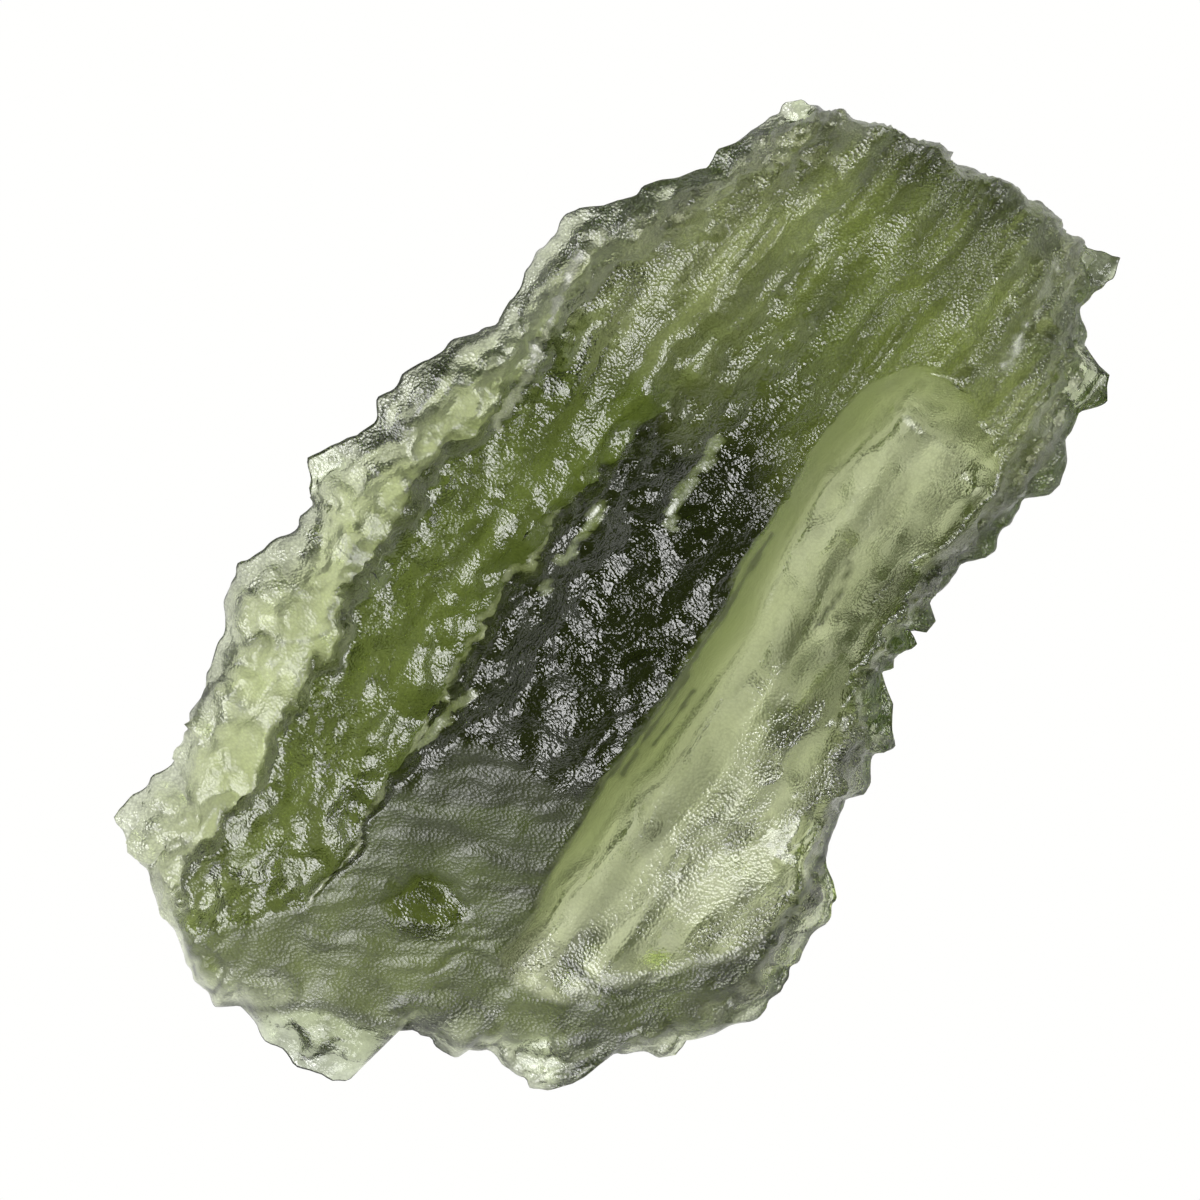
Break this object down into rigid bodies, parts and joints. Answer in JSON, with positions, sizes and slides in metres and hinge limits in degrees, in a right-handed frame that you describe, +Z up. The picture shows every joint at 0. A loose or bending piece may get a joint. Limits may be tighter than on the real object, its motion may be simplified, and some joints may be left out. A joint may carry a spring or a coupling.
{
  "type": "raw moldavite",
  "caption": "Raw splinter of natural green glass: furrowed, etched upper side with a dark ridge beside a smooth flake scar, thin toothed rim and a worn belly that it lies on.",
  "frame": {"origin": "centre of the bounding box, at the height of the worn flat on the underside that the stone lies on", "axes": "+X along the furrows and the stone's length, towards the broken upper end; +Y across the furrows, towards the thin edge; +Z up, away from the flat that it lies on"},
  "size_m": [0.0316, 0.0194, 0.0093],
  "materials": {
    "bottle_green_glass": "clear bottle green natural glass, etched to a silvery matte skin on its ridges and glossy in the flake scar"
  },
  "bodies": {
    "root": {"moldavite": "bottle_green_glass"}
  },
  "joints": []
}
